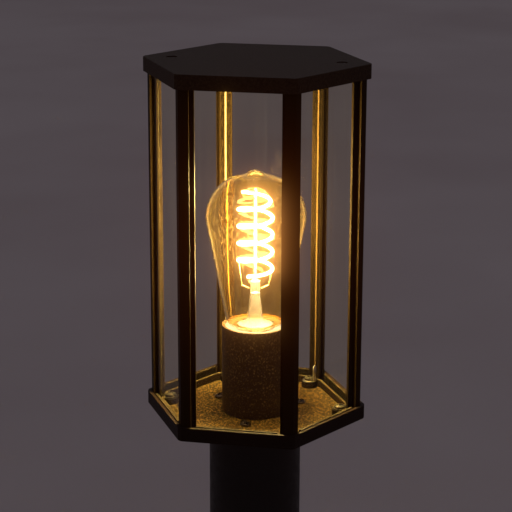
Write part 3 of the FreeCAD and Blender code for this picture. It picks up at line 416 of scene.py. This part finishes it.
# Every CAD node takes the finish of its slot; glass lets the lamp light through without dark shadows
CLEAR = ("pane_glass", "bulb_glass", "stem_glass")
slot_of = {row["node"]: row["material_slot"] for row in frame["record"]["subparts"]}
for name, node in NODES.items():
    node.data.materials.clear()
    node.data.materials.append(MATERIALS[slot_of[name]])
    node.visible_shadow = slot_of[name] not in CLEAR
NODES["base_tray"].data.materials[0] = tray_coat()
NODES["glazing_ring"].data.materials[0] = ring_coat()


# Pieces: a finished bmesh becomes a piece that rides on a body and stands for CAD nodes

NEAR = 0.01 * MM
SAME = 0.001 * MM


def new_piece(name, shape, slot, body, *stands_for, sharp=35):
    """The bmesh as a piece of the lamp, smooth but for edges sharper than an angle in degrees."""
    mesh = bpy.data.meshes.new(name)
    bmesh.ops.recalc_face_normals(shape, faces=shape.faces)
    shape.to_mesh(mesh)
    shape.free()
    mesh.shade_smooth()
    mesh.set_sharp_from_angle(angle=math.radians(sharp))
    mesh.materials.append(MATERIALS[slot])
    piece = bpy.data.objects.new(name, mesh)
    bpy.context.scene.collection.objects.link(piece)
    piece.visible_shadow = slot not in CLEAR
    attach(piece, body)
    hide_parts(*stands_for)
    return piece


def grow(shape, edges, matrix):
    """Extrudes a loop of edges and moves the new loop by the matrix; gives back the new loop."""
    grown = bmesh.ops.extrude_edge_only(shape, edges=edges)["geom"]
    corners = [item for item in grown if isinstance(item, bmesh.types.BMVert)]
    loop = [item for item in grown if isinstance(item, bmesh.types.BMEdge)]
    bmesh.ops.transform(shape, matrix=matrix, verts=corners)
    return loop


def narrowed(share, rise):
    """A loop's next place: nearer the axis by a share and higher by the rise."""
    return Matrix.Translation((0, 0, rise)) @ Matrix.Diagonal((share, share, 1, 1))


def copies(one, places):
    """One bmesh repeated at each place, as a new bmesh."""
    pattern = bpy.data.meshes.new("pattern")
    one.to_mesh(pattern)
    one.free()
    whole = bmesh.new()
    for place in places:
        whole.from_mesh(pattern)
        whole.verts.ensure_lookup_table()
        bmesh.ops.transform(whole, matrix=place, verts=whole.verts[-len(pattern.vertices):])
    return whole


def around(count, radius, level, first=0.0, sweep=360.0):
    """Places on a circle about the lamp's axis, in degrees from first."""
    place = Matrix.Translation((radius, 0, level))
    return [Matrix.Rotation(math.radians(first + sweep * i / count), 4, "Z") @ place for i in range(count)]


def add_wall(piece, wall, side):
    """Gives a surface its metal: inwards with side -1, outwards with side 1."""
    solidify = piece.modifiers.new("wall", "SOLIDIFY")
    solidify.thickness = wall
    solidify.offset = side


# Filament: a round strand drawn along the coil, ring by ring

COIL_TURNS = 5
COIL_START = -169
COIL_RADIUS = 11.0 * MM
COIL_PITCH = 11.2 * MM
COIL_LIFT = 32.2 * MM
LOWER_RADIUS = 4.6 * MM
UPPER_RADIUS = 8.0 * MM
LOWER_TURNS = 0.5
UPPER_TURNS = 1.0
STRAND_RADIUS = 1.1 * MM
STRAND_SIDES = 10
RINGS_PER_TURN = 40
cap_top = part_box("bulb_cap")[1][2]


def eased(share):
    """A share from 0 to 1, made to start and end gently; 0 for a share below 0."""
    return (1 - math.cos(math.pi * max(share, 0.0))) / 2


def coil_point(turn):
    """A point of the filament's line, with turns counted from its lower end."""
    radius = COIL_RADIUS
    radius -= (COIL_RADIUS - LOWER_RADIUS) * eased(1 - turn / LOWER_TURNS)
    radius -= (COIL_RADIUS - UPPER_RADIUS) * eased(1 - (COIL_TURNS - turn) / UPPER_TURNS)
    angle = math.radians(COIL_START + 360 * turn)
    level = cap_top + COIL_LIFT + COIL_PITCH * turn
    return Vector((radius * math.cos(angle), radius * math.sin(angle), level))


def coil_place(turn):
    """Where a ring of the strand sits, square to the coil's line."""
    half_step = 0.5 / RINGS_PER_TURN
    start = max(turn - half_step, 0.0)
    end = min(turn + half_step, COIL_TURNS)
    way = (coil_point(end) - coil_point(start)).to_track_quat("Z", "Y")
    return Matrix.Translation(coil_point(turn)) @ way.to_matrix().to_4x4()


def make_filament():
    shape = bmesh.new()
    bmesh.ops.create_circle(
        shape, cap_ends=True, segments=STRAND_SIDES, radius=STRAND_RADIUS, matrix=coil_place(0),
    )
    loop = shape.edges[:]
    for ring in range(COIL_TURNS * RINGS_PER_TURN):
        here = coil_place(ring / RINGS_PER_TURN)
        there = coil_place((ring + 1) / RINGS_PER_TURN)
        loop = grow(shape, loop, there @ here.inverted())
    bmesh.ops.contextual_create(shape, geom=loop)
    new_piece("filament_coil", shape, "filament", "bulb", "bulb_filament")


# Screws: a head with a cross recess on a plain shank

GRID = 5
ARM_CELLS = 1.5
PAN_RADIUS = 3.6 * MM
PAN_HEIGHT = 2.4 * MM
SUNK_RADIUS = 3.5 * MM
SUNK_CONE = 1.5 * MM
SCREW_RADIUS = 2.0 * MM
RECESS_TAPER = 0.6
RECESS_SHARE = 0.65
DOME_SHARE = 0.45
TRAY_SCREWS = 3
TRAY_SCREW_TURN = 30
RING_SCREWS = 4
RING_SWEEP = 240
LID_SCREWS = 2


def cross_screw(radius, height, cone, shank, length):
    """A screw along Z with its head's underside at 0: domed above, conical below where cone isn't 0."""
    shape = bmesh.new()
    bmesh.ops.create_grid(shape, x_segments=GRID, y_segments=GRID, size=radius)
    cell = 2 * radius / GRID
    arms = []
    for face in shape.faces:
        across, along = sorted(abs(value) for value in face.calc_center_median().xy)
        if across < cell / 2 and along < ARM_CELLS * cell:
            arms.append(face)
    for corner in shape.verts:
        reach = max(abs(corner.co.x), abs(corner.co.y))
        if corner.co.length > 0:
            corner.co *= reach / corner.co.length
        corner.co.z = height * (1 - DOME_SHARE * (reach / radius) ** 2)
    rim = [edge for edge in shape.edges if edge.is_boundary]
    sunk = bmesh.ops.extrude_face_region(shape, geom=arms)["geom"]
    floor = [item for item in sunk if isinstance(item, bmesh.types.BMVert)]
    bmesh.ops.delete(shape, geom=arms, context="FACES")
    depth = RECESS_SHARE * (height + cone)
    bmesh.ops.scale(shape, vec=(RECESS_TAPER, RECESS_TAPER, 1), verts=floor)
    bmesh.ops.translate(shape, vec=(0, 0, -depth), verts=floor)
    rim = grow(shape, rim, Matrix.Translation((0, 0, -height * (1 - DOME_SHARE))))
    narrow = Matrix.Diagonal((shank / radius, shank / radius, 1, 1))
    rim = grow(shape, rim, Matrix.Translation((0, 0, -cone)) @ narrow)
    rim = grow(shape, rim, Matrix.Translation((0, 0, cone - length)))
    bmesh.ops.contextual_create(shape, geom=rim)
    return shape


def rubbed_steel():
    """Blackened steel of the tray's screws, rubbed lighter all over."""
    return metal("rubbed_black_steel", "746c62", rough=0.28)


def make_screws():
    tray_low, tray_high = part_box("tray_screws")
    ring_low, ring_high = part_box("glazing_ring_screws")
    lid_low, lid_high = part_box("lid_screws")
    tray_circle = -tray_low[1] - PAN_RADIUS
    ring_circle = ring_high[0] - PAN_RADIUS
    lid_circle = lid_high[0] - SUNK_RADIUS
    tray_head = tray_high[2] - PAN_HEIGHT
    ring_head = ring_high[2] - PAN_HEIGHT
    places = {
        "tray_screws": around(TRAY_SCREWS, tray_circle, tray_head, first=TRAY_SCREW_TURN),
        "glazing_ring_screws": around(RING_SCREWS, ring_circle, ring_head, sweep=RING_SWEEP),
        "lid_screws": around(LID_SCREWS, lid_circle, lid_high[2]),
    }
    pan = (PAN_RADIUS, PAN_HEIGHT, 0.0, SCREW_RADIUS)
    lengths = {"tray_screws": tray_head - tray_low[2], "glazing_ring_screws": ring_head - ring_low[2]}
    for node, length in lengths.items():
        shape = copies(cross_screw(*pan, length), places[node])
        piece = new_piece("cross_" + node, shape, slot_of[node], "root", node)
        if node == "tray_screws":
            piece.data.materials[0] = rubbed_steel()
    sunk = cross_screw(SUNK_RADIUS, 0.0, SUNK_CONE, SCREW_RADIUS, lid_high[2] - lid_low[2])
    shape = copies(sunk, places["lid_screws"])
    new_piece("cross_lid_screws", shape, slot_of["lid_screws"], "root", "lid_screws")


# Earth tag: a washer with an upright slotted blade, its edges a little rounded

TAG_TURN = 60
TAG_WALL = 0.8 * MM
TAG_RADIUS = 4.7 * MM
TAG_WIDTH = 3.0 * MM
TAG_TIP = 1.2 * MM
TAG_ROUND = 0.2 * MM
TAG_CELLS = 3
HALF_CELL = 0.5
SLOT_WIDTH = 1.0 * MM
SLOT_LOW = 2.4 * MM
SLOT_HIGH = 6.6 * MM
SCREW_GAP = 0.1 * MM
TAG_SIDES = 32


def tag_metal():
    """Bright tin on the tag, which catches the lamp along its edges."""
    return metal("bright_tinned_steel", "c8c0b0", rough=0.35)


def make_tag():
    """The blade starts as a square of nine cells, with the middle one left out for the slot."""
    turned = Matrix.Rotation(math.radians(TAG_TURN), 4, "Z")
    corners = [turned.inverted() @ corner.co for corner in NODES["earth_tag"].data.vertices]
    tip = max(corners, key=lambda corner: corner.z)
    foot = min(corner.z for corner in corners)
    shape = bmesh.new()
    bmesh.ops.create_grid(shape, x_segments=TAG_CELLS, y_segments=TAG_CELLS, size=TAG_CELLS / 2)
    columns = (-TAG_WIDTH / 2, -SLOT_WIDTH / 2, SLOT_WIDTH / 2, TAG_WIDTH / 2)
    rows = (0.0, SLOT_LOW, SLOT_HIGH, tip.z - foot)
    slot = [face for face in shape.faces if face.calc_center_median().length < HALF_CELL]
    bmesh.ops.delete(shape, geom=slot, context="FACES")
    for corner in shape.verts:
        column, row = (round(value + TAG_CELLS / 2) for value in corner.co.xy)
        slope = TAG_TIP if row == TAG_CELLS and column in (0, TAG_CELLS) else 0.0
        corner.co = (tip.x + columns[column], tip.y, foot + rows[row] - slope)
    blade = bmesh.ops.extrude_face_region(shape, geom=shape.faces[:])["geom"]
    far = [item for item in blade if isinstance(item, bmesh.types.BMVert)]
    inward = -math.copysign(TAG_WALL, tip.y)
    bmesh.ops.translate(shape, vec=(0, inward, 0), verts=far)
    hole = SCREW_RADIUS + SCREW_GAP
    ring = bmesh.ops.create_circle(shape, segments=TAG_SIDES, radius=hole)["verts"]
    bmesh.ops.translate(shape, vec=(tip.x, 0, foot), verts=ring)
    loop = [edge for edge in shape.edges if all(corner in ring for corner in edge.verts)]
    centre = Matrix.Translation((tip.x, 0, 0))
    wider = TAG_RADIUS / hole
    for share, rise in ((wider, 0), (1, TAG_WALL), (1 / wider, 0), (1, -TAG_WALL)):
        loop = grow(shape, loop, centre @ narrowed(share, rise) @ centre.inverted())
    bmesh.ops.remove_doubles(shape, verts=shape.verts, dist=SAME)
    bmesh.ops.transform(shape, matrix=turned, verts=shape.verts)
    piece = new_piece("slotted_earth_tag", shape, "zinc_steel", "root", "earth_tag")
    piece.data.materials[0] = tag_metal()
    edges = piece.modifiers.new("edges", "BEVEL")
    edges.width = TAG_ROUND
    edges.segments = 2


# Seals: a strip of silicone at the foot of each pane, with an uneven upper edge

SEAL_CUTS = 60
SEAL_INSET = 5.0 * MM
SEAL_WAVE = 0.35 * MM
SEAL_BLOTCH = 2.5 * MM


def make_seals():
    """One side's seal is shaped on the pane that faces +Y and repeated around the lamp."""
    low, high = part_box("pane_seals")
    pane_low, pane_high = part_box("glass_pane_2")
    outer = high[1]
    inner = pane_high[1]
    half = pane_high[0] - SEAL_INSET
    bed_top = pane_low[2]
    one = bmesh.new()
    for back, top, wavy in ((pane_low[1], bed_top, False), (inner, high[2], True)):
        made = bmesh.ops.create_cube(one, size=1.0)["verts"]
        size = Matrix.Diagonal((2 * half, outer - back, top - low[2], 1))
        middle = Matrix.Translation((0, (outer + back) / 2, (top + low[2]) / 2))
        bmesh.ops.transform(one, matrix=middle @ size, verts=made)
        if wavy:
            along = [edge for edge in one.edges if edge.calc_length() > half and edge.verts[0] in made]
            bmesh.ops.subdivide_edges(one, edges=along, cuts=SEAL_CUTS, use_grid_fill=True)
    for corner in one.verts:
        if corner.co.z > bed_top + SEAL_WAVE:
            corner.co.z -= SEAL_WAVE * (1 + noise.noise(corner.co / SEAL_BLOTCH))
    sides = around(SIDES, 0.0, 0.0)
    new_piece("silicone_seals", copies(one, sides), "pane_sealant", "root", "pane_seals")


# Threads: the rolled cap of the bulb and the shell that it screws into share one wave, a small gap apart

THREAD_PITCH = 3.63 * MM
THREAD_DEPTH = 0.8 * MM
THREAD_GAP = 0.35 * MM
THREAD_STEPS = 48
SPARE_TURNS = 1
WAVE_POINTS = 12
SHELL_WALL = 0.4 * MM
CAP_WALL = 0.4 * MM
CAP_PLAIN = 3.5 * MM
CAP_TAPER = 3.0 * MM
CAP_MOUTH = 8.6 * MM
CAP_LIP = 0.5
SHELL_LIP = 0.78


def threaded_tube(crest, low, high):
    """A thin rolled tube: one wave of the thread, wound up the axis and cut level at both ends."""
    shape = bmesh.new()
    turns = math.ceil((high - low) / THREAD_PITCH) + 2 * SPARE_TURNS
    start = math.floor(low / THREAD_PITCH - SPARE_TURNS) * THREAD_PITCH
    corners = []
    for point in range(WAVE_POINTS + 1):
        share = point / WAVE_POINTS
        radius = crest - THREAD_DEPTH * (1 - math.cos(2 * math.pi * share)) / 2
        corners.append(shape.verts.new((radius, 0, start + share * THREAD_PITCH)))
    wave = [shape.edges.new(pair) for pair in zip(corners, corners[1:])]
    bmesh.ops.spin(
        shape, geom=corners + wave, cent=(0, 0, 0), axis=(0, 0, 1), angle=2 * math.pi * turns,
        dvec=(0, 0, THREAD_PITCH / THREAD_STEPS), steps=THREAD_STEPS * turns,
    )
    bmesh.ops.remove_doubles(shape, verts=shape.verts, dist=NEAR)
    for level, outer in ((low, False), (high, True)):
        bmesh.ops.bisect_plane(
            shape, geom=shape.verts[:] + shape.edges[:] + shape.faces[:], dist=SAME,
            plane_co=(0, 0, level), plane_no=(0, 0, 1), clear_outer=outer, clear_inner=not outer,
        )
    return shape


def rim_at(shape, level):
    """The open edges of a tube that lie at one level."""
    flat = []
    for edge in shape.edges:
        if edge.is_boundary and all(abs(corner.co.z - level) < NEAR for corner in edge.verts):
            flat.append(edge)
    return flat


def make_threads():
    low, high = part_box("bulb_cap")
    crest = high[0]
    foot = low[2] + CAP_TAPER
    neck = high[2] - CAP_PLAIN
    cap = threaded_tube(crest, foot, neck)
    grow(cap, rim_at(cap, neck), Matrix.Translation((0, 0, CAP_PLAIN)))
    edge = grow(cap, rim_at(cap, foot), narrowed(CAP_MOUTH / crest, -CAP_TAPER))
    grow(cap, edge, narrowed(CAP_LIP, 0))
    piece = new_piece("rolled_cap", cap, "cap_metal", "bulb", "bulb_cap")
    add_wall(piece, CAP_WALL, -1)
    low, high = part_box("lampholder_shell")
    shell = threaded_tube(crest + THREAD_GAP, low[2], high[2])
    grow(shell, rim_at(shell, low[2]), narrowed(SHELL_LIP, 0))
    piece = new_piece("rolled_shell", shell, "brass", "root", "lampholder_shell")
    add_wall(piece, SHELL_WALL, 1)


make_filament()
make_screws()
make_tag()
make_seals()
make_threads()


# Lamp light: soft balls of light along the coil, which light the head but not the far floor

LAMP_COLOUR = "ffe28c"
GLOW_POWER = 3.2
GLOW_RADIUS = 8 * MM
GLOW_LEVELS = (0.1, 0.5, 1.0)
GLASS_POWER = 0.46
FACE_POWER = 0.1
STEM_POWER = 1.1
PALE_COLOUR = "fff2d0"
WHITE_COLOUR = "fff8ee"
BOUNCE_POWER = 1.7
BOUNCE_WIDTH = 90 * MM
BOUNCE_DROP = 2 * MM


def warm_light(name, kind, power, level, things, colour=LAMP_COLOUR, glossy=False):
    """A light on the lamp's axis that the camera doesn't see and that falls only on the things given."""
    light = bpy.data.lights.new(name, kind)
    light.energy = power
    light.color = linear(colour)[:3]
    item = bpy.data.objects.new(name, light)
    item.location = (0, 0, level)
    item.visible_camera = False
    item.visible_glossy = glossy
    item.visible_transmission = False
    item.light_linking.receiver_collection = bpy.data.collections.new(name)
    for thing in things:
        item.light_linking.receiver_collection.objects.link(thing)
    bpy.context.scene.collection.objects.link(item)
    return light


def make_lamp_light():
    """The coil's light: warm on solid pieces, pale on the glass, white on the stem and weak on the face."""
    face = [NODES["lampholder_body"]]
    stem = [NODES["bulb_stem"]]
    meshes = [item for item in bpy.context.scene.objects if item.type == "MESH"]
    glass = [item for item in meshes if not item.visible_shadow and item not in stem]
    solid = [item for item in meshes if item not in glass + face + stem]
    coil_low = cap_top + COIL_LIFT
    coil_height = COIL_PITCH * COIL_TURNS
    middle = coil_low + coil_height / 2
    glows = [
        warm_light("glass_glow", "POINT", GLASS_POWER, middle, glass, PALE_COLOUR),
        warm_light("face_glow", "POINT", FACE_POWER, middle, face, WHITE_COLOUR),
        warm_light("stem_glow", "POINT", STEM_POWER, middle, stem, WHITE_COLOUR),
    ]
    for share in GLOW_LEVELS:
        level = coil_low + coil_height * share
        glows.append(warm_light("coil_glow", "POINT", GLOW_POWER, level, solid, glossy=True))
    for glow in glows:
        glow.shadow_soft_size = GLOW_RADIUS
    under_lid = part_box("lid")[0][2] - BOUNCE_DROP
    bounce = warm_light("lid_bounce", "AREA", BOUNCE_POWER, under_lid, solid)
    bounce.shape = "DISK"
    bounce.size = BOUNCE_WIDTH


make_lamp_light()


# Stage: a plain pale floor and soft studio light

FLOOR_SIZE = 12.0
STUDIO_LIGHTS = (("key", (-1.6, -1.0, 2.6), "f4f0ff"), ("fill", (2.4, 0.6, 2.2), "fff0ec"))
STUDIO_TARGET = (0, 0, 0.3)
STUDIO_SIZE = 2.0
STUDIO_POWER = 1.2
ROOM_COLOUR = "c8c0c6"
ROOM_STRENGTH = 0.24


def floor_paint():
    """Matt grey floor paint with wide soft clouds."""
    paint = surface("matt_floor_paint", "b8afb2", rough=0.9)
    return tint(paint, blotches(paint, size_mm=900.0), "b2a8ac", "bcb4b8")


def make_floor():
    shape = bmesh.new()
    bmesh.ops.create_grid(shape, x_segments=1, y_segments=1, size=FLOOR_SIZE)
    mesh = bpy.data.meshes.new("floor")
    shape.to_mesh(mesh)
    shape.free()
    mesh.materials.append(floor_paint())
    floor = bpy.data.objects.new("floor", mesh)
    bpy.context.scene.collection.objects.link(floor)


def area_light(name, place, colour):
    """A wide soft light that looks at the lamp's middle."""
    light = bpy.data.lights.new(name, "AREA")
    light.size = STUDIO_SIZE
    light.energy = STUDIO_POWER
    light.color = linear(colour)[:3]
    item = bpy.data.objects.new(name, light)
    item.location = place
    item.rotation_euler = (Vector(STUDIO_TARGET) - Vector(place)).to_track_quat("-Z", "Y").to_euler()
    bpy.context.scene.collection.objects.link(item)


make_floor()
for row in STUDIO_LIGHTS:
    area_light(*row)
world = bpy.data.worlds.new("studio")
world.use_nodes = True
room = world.node_tree.nodes["Background"]
room.inputs["Color"].default_value = linear(ROOM_COLOUR)
room.inputs["Strength"].default_value = ROOM_STRENGTH
bpy.context.scene.world = world
bpy.context.scene.view_settings.view_transform = "Standard"


# Lens: each bloom has a size, a strength and a colour

BLOOMS = ((0.1, 0.28, "fff0dc"), (0.5, 0.13, "ffa468"))


def make_bloom():
    """The glow of the filament in a camera's lens: a tight white one and a wide faint amber one."""
    scene = bpy.context.scene
    scene.use_nodes = True
    tree = scene.node_tree
    tree.nodes.clear()
    picture = add_node(tree, "CompositorNodeRLayers").outputs["Image"]
    for size, strength, colour in BLOOMS:
        glare = add_node(
            tree, "CompositorNodeGlare", [(picture, "Image")], glare_type="BLOOM", quality="HIGH",
            Threshold=1.0, Strength=strength, Size=size, Tint=linear(colour),
        )
        picture = glare.outputs["Image"]
    add_node(tree, "CompositorNodeComposite", [(picture, "Image")])


make_bloom()


# Camera: fitted to the corners of lid and tray in the photograph

CAMERA_PLACE = (0.19699, -1.01218, 0.66711)
CAMERA_HEADING = 10.994
CAMERA_PITCH = 15.917
CAMERA_ROLL = 0.18
CAMERA_LENS = 117.38
SENSOR_WIDTH = 36


def make_camera():
    heading, pitch, roll = (math.radians(a) for a in (CAMERA_HEADING, CAMERA_PITCH, CAMERA_ROLL))
    level = Vector((math.sin(heading), -math.cos(heading), 0))
    back = level * math.cos(pitch) + Vector((0, 0, math.sin(pitch)))
    right = Vector((math.cos(heading), math.sin(heading), 0))
    up = back.cross(right)
    across = right * math.cos(roll) + up * math.sin(roll)
    upward = up * math.cos(roll) - right * math.sin(roll)
    data = bpy.data.cameras.new("camera")
    data.lens = CAMERA_LENS
    data.sensor_width = SENSOR_WIDTH
    camera = bpy.data.objects.new("camera", data)
    turn = Matrix((across, upward, back)).transposed()
    camera.matrix_world = Matrix.Translation(CAMERA_PLACE) @ turn.to_4x4()
    bpy.context.scene.collection.objects.link(camera)
    bpy.context.scene.camera = camera


make_camera()
